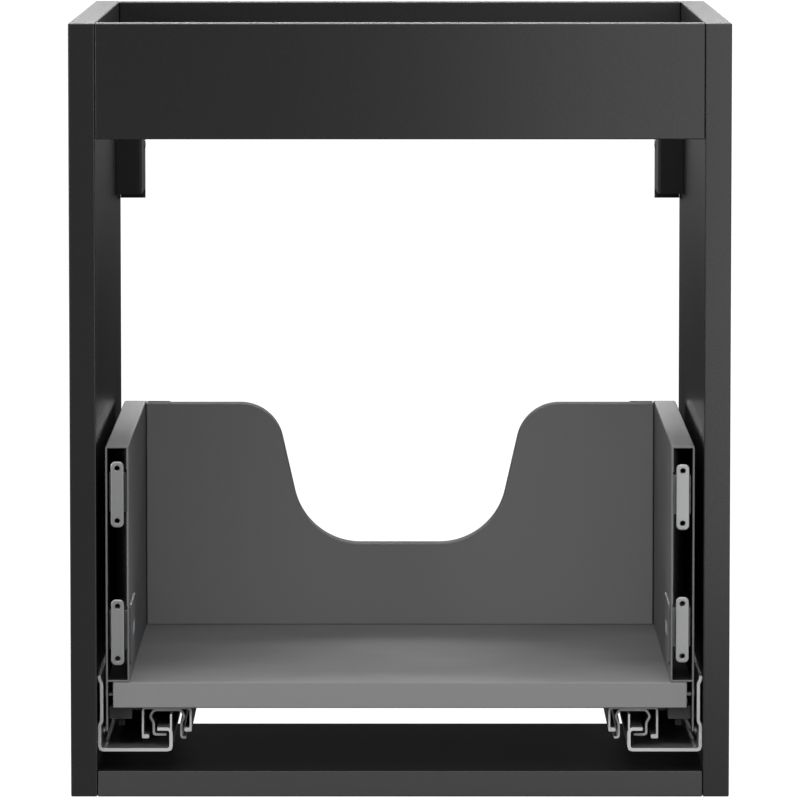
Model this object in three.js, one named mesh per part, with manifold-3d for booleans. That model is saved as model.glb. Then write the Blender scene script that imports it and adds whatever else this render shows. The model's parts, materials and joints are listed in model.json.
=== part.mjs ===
// Wall-hung washbasin base cabinet: an open carcass of faced board with one pull-out drawer on
// undermount full-extension runners, and an adjustable concealed hanger in each rear top corner.
// Millimetres, +Z up. X = 0 is the middle, Z = 0 the underside, and the front faces -Y.
import * as THREE from "three";
import { RoundedBoxGeometry } from "three/addons/geometries/RoundedBoxGeometry.js";
import { mergeVertices } from "three/addons/utils/BufferGeometryUtils.js";
import Module from "manifold-3d";

const wasm = await Module();
wasm.setup();

// ---------------------------------------------------------------- driving dimensions
const cabinet = { width: 400, depth: 385, height: 470, board: 16, edgeRadius: 0.9 };
const frontRail = { height: 70 };
const backRail = { height: 60 };
const bottomPanel = { depth: 208 };
const dowel = { radius: 4, length: 30 };
const seam = 0.1; // between boards that meet
const fit = 0.3; // between pieces that slide, turn or plug together
const past = 1; // how far a cutting tool, or a piece that is joined on, runs past a face

// Lengths along Y are counted from the carcass front, heights from the bottom panel's top face,
// and "in" is the distance from a side panel's inner face towards the middle.
const drawer = {
  setback: 2, length: 300, sheet: 1.2, corner: 0.6,
  outerIn: 5.4, innerIn: 19.7, skinBottom: 24, top: 197.9,
};
const floor = { edgeIn: 9.6, bottom: 38, thickness: 16 };
const back = { thickness: 16, topDrop: 0.4, front: 284 };
const pipeCut = { depth: 91, bottomHalf: 25.5, bottomRadius: 43.5, topRadius: 28, slant: 12.8 };
const cap = { thickness: 1.2, start: 4, length: 66, bottom: 64, height: 37, corner: 3 };
const plate = { width: 8.4, height: 40.2, thickness: 1.8, corner: 3, holePitch: 32, holeRadius: 1.55 };
const plateRow = { lower: 85, upper: 167.6, setback: 3.2, offset: 0.8 };
const plateNeck = { half: 2.4, halfHeight: 10, end: 14 };
const plateCarrier = { end: 34, halfHeight: 17 };
const holder = { sheet: 1.2, reach: 15, bottom: 60 };
const floorScrew = { radius: 1.75, headRadius: 3, headHeight: 0.9, start: 14, height: 45.5, length: 16 };

const cabinetRail = {
  start: 4, end: 306, sheet: 2, bend: 2.2, web: 11.2, wallIn: 0.3, wallTop: 57.5,
  riserIn: 43.7, flangeHeight: 24.9, flangeIn: 36.4,
};
const rib = { low: 27.5, high: 55, slope: 2, depth: 1.3 }; // pressed into the fixed rail's wall
const guide = { thickness: 1.2, top: 34.1 };
const middleRail = { start: 14.5, end: 300, sheet: 1.5, bend: 1.4 };
const drawerRail = {
  start: 8, end: 300, sheet: 1.3, bend: 1.6, outerLeg: [27.5, 18.6], innerLeg: [56.6, 22.8],
};
const hem = { height: 2.5, width: 4.35, proud: 0.5 };
const innerCage = {
  start: 76, end: 226, low: 28.2, high: 32.2, bar: [36.6, 42.4], wheel: [35.7, 43.3],
  rollers: 4, rollerRadius: 4,
};
const outerCage = {
  start: 88, end: 226, sheet: 0.3, bend: 1, balls: 3, ballRadius: 1.7,
  outerLeg: [29.6, 24], innerLeg: [54.7, 26],
};
const damper = {
  start: 165, end: 300, inLow: 9, inHigh: 24, bottom: 13.5, top: 30, slot: 5, slotDepth: 8,
};
const damperCatch = {
  start: 255, length: 30, travel: 45, headTop: 34, headOver: 1,
  notchStart: 6, notchLength: 6, notchDepth: 2.2,
};
const coupling = {
  start: 12, length: 40, inLow: 6.9, inHigh: 20.8, bottom: 30.1,
  tongueIn: 26.5, tongueStart: 8, tongueThickness: 3.5,
};
const lever = {
  thickness: 1.9, inLow: 13.5, bottom: 26.1, start: 13, length: 36,
  thumb: 4, thumbOver: 1, pinRadius: 1.5, pinLength: 5,
};
const railScrew = {
  radius: 2.5, headRadius: 3.6, headHeight: 1.6, length: 13, height: 20.5,
  recess: 4, recessDepth: 0.9,
};
const slotWidth = 0.9; // each arm of a screw's cross recess
const railScrewRow = { front: 37, rear: 261 };

// The hanger's lengths along Y are counted forwards from the cabinet's back plane, and its
// heights from its own top, which sits just below the back rail.
const hanger = { width: 16.4, length: 64, height: 62.7, wall: 1.7, lip: 6.4, lipThickness: 2 };
const hangerPlug = { radius: 5, length: 10.5, pitch: 32, lengthwise: 37, top: 15.7 };
const carriage = { low: 17, high: 37, top: 2.6, height: 24, widthIn: 9.5, cheek: 2.7, endWall: 2 };
const hook = { thickness: 2.5, inLow: 9.8, stem: 14, top: 10, height: 42.6, arm: 6, throat: 7.8 };
const hookTip = { low: 0.6, thickness: 2.9 };
const hangerScrew = {
  radius: 2.4, axisIn: 6.2, depthTop: 8.7, heightTop: 20.7, headRadius: 3.6, headLength: 3.4,
  sunk: 0.2, collarRadius: 4.1, collarLength: 1.4, recess: 4.2, recessDepth: 1.5,
  depthTail: 3, heightTail: 21,
};
const rivet = { shank: 1.5, head: 3, tail: 2.4, headHeight: 0.8, lengthwise: 20, top: 32.7 };

// ---------------------------------------------------------------- frame
const innerHalf = cabinet.width / 2 - cabinet.board;
const frontY = -cabinet.depth / 2;
const backY = cabinet.depth / 2;
const hangerTop = cabinet.height - backRail.height - fit;
const fromFront = (y) => frontY + y;
const fromBack = (y) => backY - y;
const up = (z) => cabinet.board + z;
const inwards = (side, gap) => side * (innerHalf - gap); // side -1 is the left, +1 the right
const down = (z) => hangerTop - z;

// ---------------------------------------------------------------- finishes
const finish = (color, roughness, metalness) =>
  new THREE.MeshStandardMaterial({ color, roughness, metalness });
const anthraciteBoard = finish(0x2f3033, 0.45, 0);
const greyBoard = finish(0x77787a, 0.55, 0);
const anthraciteSteel = finish(0x3c3d40, 0.4, 0.3);
const zincSteel = finish(0xb9bcc0, 0.3, 0.9);
const plainSteel = finish(0x9a9c9f, 0.4, 0.8);
const blackPlastic = finish(0x161617, 0.5, 0);
const greyPlastic = finish(0x55565a, 0.5, 0);
const whitePlastic = finish(0xd8d8d4, 0.5, 0);
const beech = finish(0xc9a471, 0.7, 0);

// ---------------------------------------------------------------- shape helpers
function solidOf(geometry) {
  const bare = geometry.clone();
  bare.deleteAttribute("normal");
  bare.deleteAttribute("uv");
  const merged = mergeVertices(bare, 1e-4);
  const vertProperties = merged.attributes.position.array;
  const triVerts = new Uint32Array(merged.index.array);
  return new wasm.Manifold(new wasm.Mesh({ numProp: 3, vertProperties, triVerts }));
}

function geometryOf(solid) {
  const mesh = solid.getMesh();
  const geometry = new THREE.BufferGeometry();
  const corners = new THREE.BufferAttribute(mesh.vertProperties, mesh.numProp);
  geometry.setAttribute("position", corners);
  geometry.setIndex(new THREE.BufferAttribute(mesh.triVerts, 1));
  geometry.computeVertexNormals();
  return geometry;
}

const join = (first, ...others) =>
  geometryOf(others.reduce((sum, other) => sum.add(solidOf(other)), solidOf(first)));

const cut = (first, ...tools) =>
  geometryOf(tools.reduce((rest, tool) => rest.subtract(solidOf(tool)), solidOf(first)));

// A plain block between two values on each axis, given in either order.
function block(x, y, z) {
  const size = [x, y, z].map(([a, b]) => Math.abs(b - a));
  const middle = [x, y, z].map(([a, b]) => (a + b) / 2);
  return new THREE.BoxGeometry(...size).translate(...middle);
}

// A block whose X values are distances in from one side panel.
const sideBlock = (side, gaps, y, z) =>
  block(gaps.map((gap) => inwards(side, gap)), y, z);

// A board with eased edges.
function board(x, y, z) {
  const size = [x, y, z].map(([a, b]) => Math.abs(b - a));
  const middle = [x, y, z].map(([a, b]) => (a + b) / 2);
  return new RoundedBoxGeometry(...size, 2, cabinet.edgeRadius).translate(...middle);
}

// A rod between two values on its own axis ("x" or "y"); centre gives the other two coordinates.
function rod(axis, radius, [low, high], [first, second], sides = 12) {
  const geometry = new THREE.CylinderGeometry(radius, radius, Math.abs(high - low), sides);
  if (axis === "x") geometry.rotateZ(Math.PI / 2).translate((low + high) / 2, first, second);
  if (axis === "y") geometry.translate(first, (low + high) / 2, second);
  return geometry;
}

const ball = (radius, x, y, z) => new THREE.SphereGeometry(radius, 6, 4).translate(x, y, z);

// A shape drawn in X and Z, drawn out along Y from yFront to yRear.
function alongY(shape, yFront, yRear, curveSegments = 4) {
  const options = { depth: yRear - yFront, bevelEnabled: false, curveSegments };
  return new THREE.ExtrudeGeometry(shape, options).rotateX(Math.PI / 2).translate(0, yRear, 0);
}

// The outline of a bent sheet: corners are the middle line's, and each bend is rounded.
function sheetShape(corners, sheet, bend) {
  const line = new THREE.Path().moveTo(corners[0].x, corners[0].y);
  corners.slice(1, -1).forEach((corner, i) => {
    const before = corners[i].clone().sub(corner);
    const after = corners[i + 2].clone().sub(corner);
    const reach = Math.min(bend, before.length() * 0.45, after.length() * 0.45);
    const start = corner.clone().add(before.setLength(reach));
    const end = corner.clone().add(after.setLength(reach));
    line.lineTo(start.x, start.y).quadraticCurveTo(corner.x, corner.y, end.x, end.y);
  });
  const tail = corners[corners.length - 1];
  const points = line.lineTo(tail.x, tail.y).getPoints(2);
  const edge = (half) => points.map((point, i) => {
    const ahead = points[Math.min(i + 1, points.length - 1)];
    const behind = points[Math.max(i - 1, 0)];
    const into = point.clone().sub(behind).normalize();
    const out = ahead.clone().sub(point).normalize();
    const along = into.clone().add(out).normalize();
    const stretch = i > 0 && i < points.length - 1 ? 1 / Math.max(along.dot(out), 0.5) : 1;
    return new THREE.Vector2(-along.y, along.x).multiplyScalar(half * stretch).add(point);
  });
  return new THREE.Shape([...edge(sheet / 2), ...edge(-sheet / 2).reverse()]);
}

// Corners of a rail's section: [in, height] pairs for one side of the cabinet.
const section = (side, pairs) =>
  pairs.map(([gap, height]) => new THREE.Vector2(inwards(side, gap), up(height)));

// A rectangle with round corners, in X and Z.
function roundedRectangle(x, z, width, height, radius) {
  const [left, right] = [x - width / 2 + radius, x + width / 2 - radius];
  const [low, high] = [z - height / 2 + radius, z + height / 2 - radius];
  const quarter = Math.PI / 2;
  return new THREE.Shape()
    .absarc(right, low, radius, -quarter, 0)
    .absarc(right, high, radius, 0, quarter)
    .absarc(left, high, radius, quarter, 2 * quarter)
    .absarc(left, low, radius, 2 * quarter, 3 * quarter);
}

const cabinetGroup = new THREE.Group();
function add(name, geometry, material) {
  const mesh = new THREE.Mesh(geometry, material);
  mesh.name = name;
  cabinetGroup.add(mesh);
}
const sides = [
  { side: -1, word: "left" },
  { side: 1, word: "right" },
];

// ---------------------------------------------------------------- carcass
// Each row is a board between the side panels: where its ends are dowelled, on Y and Z.
const crossBoards = [
  {
    name: "front_rail",
    y: [frontY, frontY + cabinet.board],
    z: [cabinet.height - frontRail.height, cabinet.height],
  },
  {
    name: "back_rail",
    y: [backY - cabinet.board, backY],
    z: [cabinet.height - backRail.height, cabinet.height],
  },
  { name: "bottom_panel", y: [frontY, frontY + bottomPanel.depth], z: [0, cabinet.board] },
];
const middleOf = ([a, b]) => (a + b) / 2;
const dowelHole = (side, { y, z }) => {
  const reach = dowel.length / 2 + fit;
  const ends = [inwards(side, -reach), inwards(side, reach)];
  return rod("x", dowel.radius + fit / 2, ends, [middleOf(y), middleOf(z)]);
};

const railScrewPlaces = Object.entries(railScrewRow);
const plugHeights = [hangerPlug.top, hangerPlug.top + hangerPlug.pitch];

function sidePanel(side) {
  const outer = cabinet.width / 2;
  const panel = board([side * innerHalf, side * outer], [frontY, backY], [0, cabinet.height]);
  const dowelHoles = crossBoards.map((cross) => dowelHole(side, cross));
  const screwHoles = railScrewPlaces.map(([, y]) =>
    rod("x", railScrew.radius + fit / 2, [inwards(side, past), inwards(side, -railScrew.length)],
      [fromFront(y), up(railScrew.height)]));
  const plugHoles = plugHeights.map((top) =>
    rod("x", hangerPlug.radius + fit / 2, [inwards(side, past), inwards(side, -hangerPlug.length - fit)],
      [fromBack(hangerPlug.lengthwise), down(top)]));
  return cut(panel, ...dowelHoles, ...screwHoles, ...plugHoles);
}

for (const { side, word } of sides) {
  add(`side_panel_${word}`, sidePanel(side), anthraciteBoard);
}
for (const cross of crossBoards) {
  const ends = [-innerHalf + seam, innerHalf - seam];
  const holes = sides.map(({ side }) => dowelHole(side, cross));
  add(cross.name, cut(board(ends, cross.y, cross.z), ...holes), anthraciteBoard);
  for (const { side, word } of sides) {
    const reach = dowel.length / 2;
    const span = [inwards(side, -reach), inwards(side, reach)];
    const pin = rod("x", dowel.radius, span, [middleOf(cross.y), middleOf(cross.z)]);
    add(`dowel_${cross.name}_${word}`, pin, beech);
  }
}

// ---------------------------------------------------------------- hangers
const hangerIn = { low: seam, high: hanger.width };
const cavityIn = [hangerIn.low + hanger.wall, hangerIn.high - hanger.wall];
const screwTops = [hangerScrew.depthTop, hangerScrew.heightTop];

function hangerHousing(side) {
  const shell = sideBlock(side, [hangerIn.low, hangerIn.high], [fromBack(hanger.length), backY],
    [down(0), down(hanger.height)]);
  const lip = sideBlock(side, [hangerIn.low, hangerIn.high],
    [fromBack(hanger.lipThickness), backY],
    [down(hanger.height - past), down(hanger.height + hanger.lip)]);
  const plugs = plugHeights.map((top) =>
    rod("x", hangerPlug.radius, [inwards(side, hangerIn.low + past), inwards(side, -hangerPlug.length)],
      [fromBack(hangerPlug.lengthwise), down(top)]));
  const cavity = sideBlock(side, cavityIn, [fromBack(hanger.length - hanger.wall), backY + past],
    [down(hanger.wall), down(hanger.height - hanger.wall)]);
  const screwHoles = screwTops.map((top) =>
    rod("y", hangerScrew.headRadius + fit, [fromBack(hanger.length + past), fromBack(hanger.length / 2)],
      [inwards(side, hangerScrew.axisIn), down(top)]));
  const rivetHole = rod("x", rivet.shank + fit / 2,
    [inwards(side, hangerIn.high + past), inwards(side, hanger.width / 2)],
    [fromBack(rivet.lengthwise), down(rivet.top)]);
  return cut(join(shell, lip, ...plugs), cavity, ...screwHoles, rivetHole);
}

function hangerCarriage(side) {
  const low = cavityIn[0] + fit;
  const cheekIn = hook.inLow + hook.thickness + fit;
  const z = [down(carriage.top), down(carriage.top + carriage.height)];
  const body = sideBlock(side, [low, carriage.widthIn],
    [fromBack(carriage.high), fromBack(carriage.low)], z);
  const cheeks = [
    [carriage.high, carriage.high - carriage.cheek],
    [carriage.low + carriage.cheek, carriage.low],
  ].map((ends) => sideBlock(side, [carriage.widthIn - past, cheekIn], ends.map(fromBack), z));
  const bores = screwTops.map((top, i) => {
    const far = i === 0 ? carriage.low - past : carriage.low + carriage.endWall;
    return rod("y", hangerScrew.radius + fit, [fromBack(carriage.high + past), fromBack(far)],
      [inwards(side, hangerScrew.axisIn), down(top)]);
  });
  return cut(join(body, ...cheeks), ...bores);
}

// The hook in side view: a stem, and an arm that reaches back to a tip pointing down.
function hangerHook(side) {
  const stemLow = (carriage.low + carriage.high - hook.stem) / 2;
  const across = [hook.inLow, hook.inLow + hook.thickness];
  const foot = hook.top + hook.height;
  const stem = sideBlock(side, across, [stemLow, stemLow + hook.stem].map(fromBack),
    [down(hook.top), down(foot)]);
  const arm = sideBlock(side, across, [hookTip.low, stemLow + past].map(fromBack),
    [down(foot - hook.throat), down(foot - hook.throat - hook.arm)]);
  const tip = sideBlock(side, across, [hookTip.low, hookTip.low + hookTip.thickness].map(fromBack),
    [down(foot), down(foot - hook.throat - past)]);
  return join(stem, arm, tip);
}

// A cross recess is cut by two blocks, each as long as the recess and one slot wide.
const crossSlots = (slot, recess) => [slot(recess, slotWidth), slot(slotWidth, recess)];

// A headed screw along Y; its head lies in the housing's front wall.
function adjustingScrew(side, top, tail, collar) {
  const { radius, axisIn, headRadius, headLength, sunk, recess, recessDepth } = hangerScrew;
  const centre = [inwards(side, axisIn), down(top)];
  const face = hanger.length - sunk;
  const head = rod("y", headRadius, [face, face - headLength].map(fromBack), centre);
  const shank = rod("y", radius, [face - headLength + fit, tail].map(fromBack), centre);
  const behindWall = hanger.length - hanger.wall - fit;
  const ring = rod("y", hangerScrew.collarRadius,
    [behindWall, behindWall - hangerScrew.collarLength].map(fromBack), centre);
  const turned = collar ? join(shank, head, ring) : join(shank, head);
  const slot = (width, height) =>
    block([centre[0] - width / 2, centre[0] + width / 2], [face + past, face - recessDepth].map(fromBack),
      [centre[1] - height / 2, centre[1] + height / 2]);
  return cut(turned, ...crossSlots(slot, recess));
}

function housingRivet(side) {
  const wallIn = [hangerIn.high - hanger.wall, hangerIn.high];
  const centre = [fromBack(rivet.lengthwise), down(rivet.top)];
  const rim = fit / 2;
  const span = (a, b) => [inwards(side, a), inwards(side, b)];
  const outside = span(wallIn[1] + rim, wallIn[1] + rim + rivet.headHeight);
  const inside = span(wallIn[0] - rim, wallIn[0] - rim - rivet.headHeight);
  const through = span(wallIn[0] - rim - fit, wallIn[1] + rim + fit);
  return join(rod("x", rivet.shank, through, centre), rod("x", rivet.head, outside, centre),
    rod("x", rivet.tail, inside, centre));
}

for (const { side, word } of sides) {
  add(`hanger_housing_${word}`, hangerHousing(side), blackPlastic);
  add(`hanger_carriage_${word}`, hangerCarriage(side), zincSteel);
  add(`hanger_hook_${word}`, hangerHook(side), zincSteel);
  const { depthTop, depthTail, heightTop, heightTail } = hangerScrew;
  add(`hanger_depth_screw_${word}`, adjustingScrew(side, depthTop, depthTail, true), plainSteel);
  add(`hanger_height_screw_${word}`, adjustingScrew(side, heightTop, heightTail, false), plainSteel);
  add(`hanger_rivet_${word}`, housingRivet(side), plainSteel);
}

// ---------------------------------------------------------------- runners
const webMiddle = cabinetRail.web + cabinetRail.sheet / 2;
const wallMiddle = cabinetRail.wallIn + cabinetRail.sheet / 2;
const riserMiddle = cabinetRail.riserIn + cabinetRail.sheet / 2;

// The fixed rail: a wall against the side panel, a web under the drawer, and a riser whose
// flange carries the rollers; the guide strip stands on the riser.
function fixedRail(side) {
  const { wallTop, flangeHeight, flangeIn } = cabinetRail;
  const corners = section(side, [
    [wallMiddle, wallTop],
    [wallMiddle, rib.high],
    [wallMiddle + rib.depth, rib.high - rib.slope],
    [wallMiddle + rib.depth, rib.low + rib.slope],
    [wallMiddle, rib.low],
    [wallMiddle, webMiddle],
    [riserMiddle, webMiddle],
    [riserMiddle, flangeHeight],
    [flangeIn, flangeHeight],
  ]);
  const [start, end] = [fromFront(cabinetRail.start), fromFront(cabinetRail.end)];
  const rail = alongY(sheetShape(corners, cabinetRail.sheet, cabinetRail.bend), start, end);
  const strip = sideBlock(side, [riserMiddle - guide.thickness / 2, riserMiddle + guide.thickness / 2],
    [start, end], [up(flangeHeight), up(guide.top)]);
  const holes = railScrewPlaces.map(([, y]) =>
    rod("x", railScrew.radius + fit, [inwards(side, -past), inwards(side, drawer.outerIn)],
      [fromFront(y), up(railScrew.height)]));
  return cut(join(rail, strip), ...holes);
}

function screwIntoSide(side, y) {
  const centre = [fromFront(y), up(railScrew.height)];
  const face = cabinetRail.wallIn + cabinetRail.sheet + seam;
  const top = face + railScrew.headHeight;
  const head = rod("x", railScrew.headRadius, [inwards(side, face), inwards(side, top)], centre);
  const shank = rod("x", railScrew.radius,
    [inwards(side, face + fit), inwards(side, past - railScrew.length)], centre);
  const slot = (along, high) =>
    sideBlock(side, [top - railScrew.recessDepth, top + past],
      [centre[0] - along / 2, centre[0] + along / 2], [centre[1] - high / 2, centre[1] + high / 2]);
  return cut(join(head, shank), ...crossSlots(slot, railScrew.recess));
}

// The middle rail's corners, as [in, height]: it wraps the fixed rail's flange and the guide
// strip, and its slanted shoulders are the ball tracks.
const middleSection = [
  [41.6, 20.2], [33.9, 20.2], [33.9, 27.5], [31.55, 31.2], [34, 35.25],
  [50.4, 35.25], [52.75, 31.2], [50.65, 27.5], [50.65, 18.3], [53.7, 18.3],
];
const movingRail = (side) =>
  alongY(sheetShape(section(side, middleSection), middleRail.sheet, middleRail.bend),
    fromFront(middleRail.start), fromFront(middleRail.end));

// The drawer's own rail: a channel over the middle rail, with a hem on each leg.
function topRail(side) {
  const { start, end, sheet, bend, outerLeg, innerLeg } = drawerRail;
  const web = floor.bottom - seam - sheet / 2;
  const corners = section(side, [outerLeg, [outerLeg[0], web], [innerLeg[0], web], innerLeg]);
  const ends = [fromFront(start), fromFront(end)];
  const channel = alongY(sheetShape(corners, sheet, bend), ...ends);
  const hems = [[outerLeg, 1], [innerLeg, -1]].map(([[gap, height], turn]) =>
    sideBlock(side, [gap - turn * hem.proud, gap + turn * (hem.width - hem.proud)], ends,
      [up(height), up(height + hem.height)]));
  return join(channel, ...hems);
}

// Places for a row of pieces, with half a step free at each end.
const spread = (count, start, end) =>
  Array.from({ length: count }, (_, i) => start + ((i + 0.5) * (end - start)) / count);

function rollerCage(side) {
  const { start, end, low, high, bar, wheel, rollers, rollerRadius } = innerCage;
  const frame = sideBlock(side, bar, [fromFront(start), fromFront(end)], [up(low), up(high)]);
  const axle = up((low + high) / 2);
  const wheels = spread(rollers, start, end).map((y) =>
    rod("x", rollerRadius, wheel.map((gap) => inwards(side, gap)), [fromFront(y), axle]));
  return join(frame, ...wheels);
}

// The ball tracks, as [in, height] of a ball's centre.
const ballTracks = [[30.2, 34.2], [30.8, 25.5], [54.1, 34.2], [53.7, 27.2]];

function ballCage(side) {
  const { start, end, sheet, bend, balls, ballRadius, outerLeg, innerLeg } = outerCage;
  const bridge = floor.bottom - seam - drawerRail.sheet - fit / 2 - sheet / 2;
  const corners = section(side, [outerLeg, [outerLeg[0], bridge], [innerLeg[0], bridge], innerLeg]);
  const retainer = alongY(sheetShape(corners, sheet, bend), fromFront(start), fromFront(end));
  const all = ballTracks.flatMap(([gap, height]) =>
    spread(balls, start, end).map((y) =>
      ball(ballRadius, inwards(side, gap), fromFront(y), up(height))));
  return join(retainer, ...all);
}

const slotIn = [-1, 1].map((end) => (damper.inLow + damper.inHigh + end * damper.slot) / 2);
const slotFloor = damper.top - damper.slotDepth;

function damperHousing(side) {
  const body = sideBlock(side, [damper.inLow, damper.inHigh],
    [fromFront(damper.start), fromFront(damper.end)], [up(damper.bottom), up(damper.top)]);
  const front = damperCatch.start - damperCatch.travel - fit;
  const rear = damperCatch.start + damperCatch.length + fit;
  const slot = sideBlock(side, slotIn, [fromFront(front), fromFront(rear)],
    [up(slotFloor), up(damper.top + past)]);
  return cut(body, slot);
}

function damperSlider(side) {
  const { start, length, headTop, headOver, notchStart, notchLength, notchDepth } = damperCatch;
  const y = [fromFront(start), fromFront(start + length)];
  const notchY = fromFront(start + notchStart);
  const key = sideBlock(side, [slotIn[0] + fit, slotIn[1] - fit], y,
    [up(slotFloor + fit), up(damper.top + past)]);
  const head = sideBlock(side, [slotIn[0] - headOver, slotIn[1] + headOver], y,
    [up(damper.top + fit), up(headTop)]);
  const notch = sideBlock(side, [slotIn[0] - 2 * headOver, slotIn[1] + 2 * headOver],
    [notchY, notchY + notchLength], [up(headTop - notchDepth), up(headTop + past)]);
  return cut(join(key, head), notch);
}

for (const { side, word } of sides) {
  add(`cabinet_rail_${word}`, fixedRail(side), zincSteel);
  for (const [place, y] of railScrewPlaces) {
    add(`rail_screw_${place}_${word}`, screwIntoSide(side, y), plainSteel);
  }
  add(`middle_rail_${word}`, movingRail(side), zincSteel);
  add(`drawer_rail_${word}`, topRail(side), zincSteel);
  add(`roller_cage_${word}`, rollerCage(side), whitePlastic);
  add(`ball_cage_${word}`, ballCage(side), plainSteel);
  add(`damper_housing_${word}`, damperHousing(side), greyPlastic);
  add(`damper_catch_${word}`, damperSlider(side), blackPlastic);
}

// ---------------------------------------------------------------- drawer
const drawerFront = fromFront(drawer.setback);
const drawerRear = fromFront(drawer.setback + drawer.length);
const floorTop = floor.bottom + floor.thickness;
const backTop = drawer.top - back.topDrop;

// A hollow side of folded sheet: the outer skin runs down past the floor's edge.
function drawerSide(side) {
  const { outerIn, innerIn, sheet, top, skinBottom, corner } = drawer;
  const low = floorTop + seam;
  const at = (gap, height) => new THREE.Vector2(inwards(side, gap), up(height));
  const shape = new THREE.Shape([
    at(outerIn, skinBottom), at(outerIn, top - corner), at(outerIn + corner, top),
    at(innerIn - corner, top), at(innerIn, top - corner), at(innerIn, low),
    at(outerIn + sheet, low), at(outerIn + sheet, skinBottom),
  ]);
  const hollow = sideBlock(side, [outerIn + sheet, innerIn - sheet],
    [drawerFront - past, drawerRear + past], [up(low + sheet), up(top - sheet)]);
  const screwHole = rod("x", floorScrew.radius + fit,
    [inwards(side, outerIn - past), inwards(side, outerIn + sheet + past)],
    [fromFront(floorScrew.start), up(floorScrew.height)]);
  return cut(alongY(shape, drawerFront, drawerRear), hollow, screwHole);
}

function coverCap(side) {
  const inner = drawer.innerIn + seam;
  const face = roundedRectangle(fromFront(cap.start + cap.length / 2), up(cap.bottom + cap.height / 2),
    cap.length, cap.height, cap.corner);
  const options = { depth: cap.thickness, bevelEnabled: false, curveSegments: 3 };
  const slab = new THREE.ExtrudeGeometry(face, options).rotateX(Math.PI / 2).rotateZ(Math.PI / 2);
  slab.computeBoundingBox();
  const outermost = side > 0 ? slab.boundingBox.max.x : slab.boundingBox.min.x;
  return slab.translate(inwards(side, inner) - outermost, 0, 0);
}

// The plate that takes the drawer front's two screws, its neck, and the block that slides in
// the hollow side.
function frontPlate(side, height) {
  const x = inwards(side, (drawer.outerIn + drawer.innerIn) / 2);
  const z = up(height);
  const about = (centre, half) => [centre - half, centre + half];
  const [start, neckEnd, carrierEnd] = [0, plateNeck.end, plateCarrier.end].map((y) =>
    fromFront(plateRow.setback + y));
  const shape = roundedRectangle(x, z, plate.width, plate.height, plate.corner);
  const face = alongY(shape, start, start + plate.thickness);
  const neck = block(about(x, plateNeck.half), [start + past, neckEnd + past],
    about(z, plateNeck.halfHeight));
  const hollowHalf = (drawer.innerIn - drawer.outerIn) / 2 - drawer.sheet;
  const carrier = block(about(x, hollowHalf - fit), [neckEnd, carrierEnd],
    about(z, plateCarrier.halfHeight));
  const holes = [-1, 1].map((end) =>
    rod("y", plate.holeRadius, [start - past, start + plate.thickness + past],
      [x, z + (end * plate.holePitch) / 2]));
  return cut(join(face, neck, carrier), ...holes);
}

function drawerFloor() {
  const half = innerHalf - floor.edgeIn;
  const sheet = board([-half, half], [drawerFront, drawerRear], [up(floor.bottom), up(floorTop)]);
  const holes = sides.map(({ side }) =>
    rod("x", floorScrew.radius + fit / 2,
      [inwards(side, 0), inwards(side, drawer.outerIn + floorScrew.length + past)],
      [fromFront(floorScrew.start), up(floorScrew.height)]));
  return cut(sheet, ...holes);
}

// The back board stands on the floor, and its pipe cut-out runs from a flat bottom through a
// hollow corner, a slanted edge and a round shoulder into the top edge.
function drawerBack() {
  const half = innerHalf - drawer.innerIn - holder.sheet - 2 * fit;
  const { depth, bottomHalf, bottomRadius, topRadius } = pipeCut;
  const slant = THREE.MathUtils.degToRad(pipeCut.slant);
  const [low, top] = [up(floorTop + seam), up(backTop)];
  const cutLow = top - depth;
  const slopeRun = depth - (bottomRadius + topRadius) * (1 - Math.sin(slant));
  const shoulder = bottomHalf + (bottomRadius + topRadius) * Math.cos(slant)
    + slopeRun * Math.tan(slant);
  const quarter = Math.PI / 2;
  const shape = new THREE.Shape()
    .moveTo(-half, low)
    .lineTo(half, low)
    .lineTo(half, top)
    .absarc(shoulder, top - topRadius, topRadius, quarter, Math.PI - slant)
    .absarc(bottomHalf, cutLow + bottomRadius, bottomRadius, -slant, -quarter, true)
    .absarc(-bottomHalf, cutLow + bottomRadius, bottomRadius, -quarter, slant - Math.PI, true)
    .absarc(-shoulder, top - topRadius, topRadius, slant, quarter)
    .lineTo(-half, top);
  return alongY(shape, fromFront(back.front), fromFront(back.front + back.thickness), 12);
}

// An angle of sheet between the back board's end and the drawer side, with a leg behind the board.
function backHolder(side) {
  const wall = drawer.innerIn + fit;
  const rear = fromFront(back.front + back.thickness) + fit;
  const z = [up(holder.bottom), up(drawer.top)];
  const leg = sideBlock(side, [wall, wall + holder.sheet], [fromFront(back.front), rear + holder.sheet], z);
  const flange = sideBlock(side, [wall, wall + holder.reach], [rear, rear + holder.sheet], z);
  return join(leg, flange);
}

// Where the release lever's upright pin stands, on X and Y.
const pinPlace = (side) => [
  inwards(side, lever.inLow + lever.thickness / 2),
  fromFront(lever.start + lever.length - lever.pinRadius - past),
];

// An upright rod between two heights.
const upright = (radius, [low, high], [x, y]) =>
  rod("y", radius, [0, high - low], [0, 0]).rotateX(Math.PI / 2).translate(x, y, low);

// The coupling under the floor's front corner that grips the drawer rail.
function railCoupling(side) {
  const { start, length, inLow, inHigh, bottom, tongueIn, tongueStart, tongueThickness } = coupling;
  const y = [fromFront(start), fromFront(start + length)];
  const top = floor.bottom - seam;
  const body = sideBlock(side, [inLow, inHigh], y, [up(bottom), up(top)]);
  const tongue = sideBlock(side, [inHigh - past, tongueIn], [y[0] + tongueStart, y[1]],
    [up(top - tongueThickness), up(top)]);
  const pinHole = upright(lever.pinRadius + fit, [up(bottom - past), up(top + past)], pinPlace(side));
  return cut(join(body, tongue), pinHole);
}

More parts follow.
